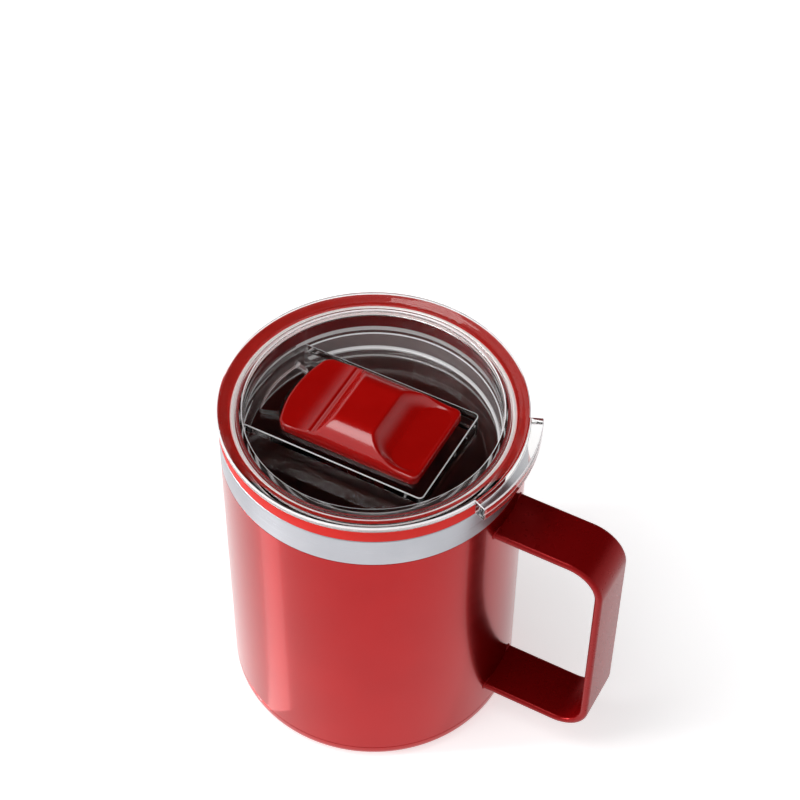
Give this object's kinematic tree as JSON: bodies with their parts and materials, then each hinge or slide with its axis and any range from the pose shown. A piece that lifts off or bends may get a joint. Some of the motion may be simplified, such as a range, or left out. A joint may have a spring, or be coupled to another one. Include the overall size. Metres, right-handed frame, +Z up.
{
  "type": "insulated travel mug",
  "caption": "Straight vacuum-insulated steel travel mug with a strap handle, a clear press-in lid, red seals and a sliding red drink shutter.",
  "frame": {"origin": "centre of the base pad's resting face, on the mug's axis", "axes": "+Z up along the mug's axis; +X towards the handle; -X towards the drinking side; +Y completes the right-handed set"},
  "size_m": [0.125, 0.091, 0.1184],
  "materials": {
    "body_paint": "gloss translucent red over steel",
    "handle_paint": "gloss translucent red over steel",
    "weld_paint": "gloss translucent red over steel",
    "band_steel": "lathe-brushed steel",
    "liner": "satin steel, darkened",
    "foil": "copper-toned foil",
    "solder": "dull solder",
    "cover_steel": "satin",
    "getter": "sintered powder",
    "clip_steel": "satin",
    "pad_silicone": "matt silicone",
    "seal_silicone": "satin silicone",
    "plug_silicone": "satin silicone",
    "lid_clear": "clear moulded copolyester",
    "slider_red": "high gloss",
    "slider_silicone": "satin silicone",
    "retainer_red": "satin"
  },
  "bodies": {
    "mug": {"rim_collar": "band_steel", "outer_shell": "body_paint", "inner_liner": "liner", "foil_wrap": "foil", "base_shell": "body_paint", "port_bead": "solder", "port_cover": "cover_steel", "getter_pellet": "getter", "getter_clip": "clip_steel", "base_pad": "pad_silicone", "handle_strap": "handle_paint", "handle_weld_upper": "weld_paint", "handle_weld_lower": "weld_paint"},
    "seals": {"rim_gasket": "seal_silicone", "plug_gasket": "plug_silicone"},
    "lid": {"lid_shell": "lid_clear"},
    "slider": {"slider_cap": "slider_red", "slider_pad": "slider_silicone", "slider_retainer": "retainer_red"}
  },
  "joints": [
    {"name": "lid_lift", "type": "slide", "parent": "mug", "child": "seals", "axis": [0, 0, 1], "range_m": [0, 0.04]},
    {"name": "lid_turn", "type": "hinge", "parent": "seals", "child": "lid", "pos_m": [0, 0, 0.112], "axis": [0, 0, 1], "continuous": true},
    {"name": "slider_slide", "type": "slide", "parent": "lid", "child": "slider", "axis": [-1, 0, 0], "range_m": [0, 0.01]}
  ]
}
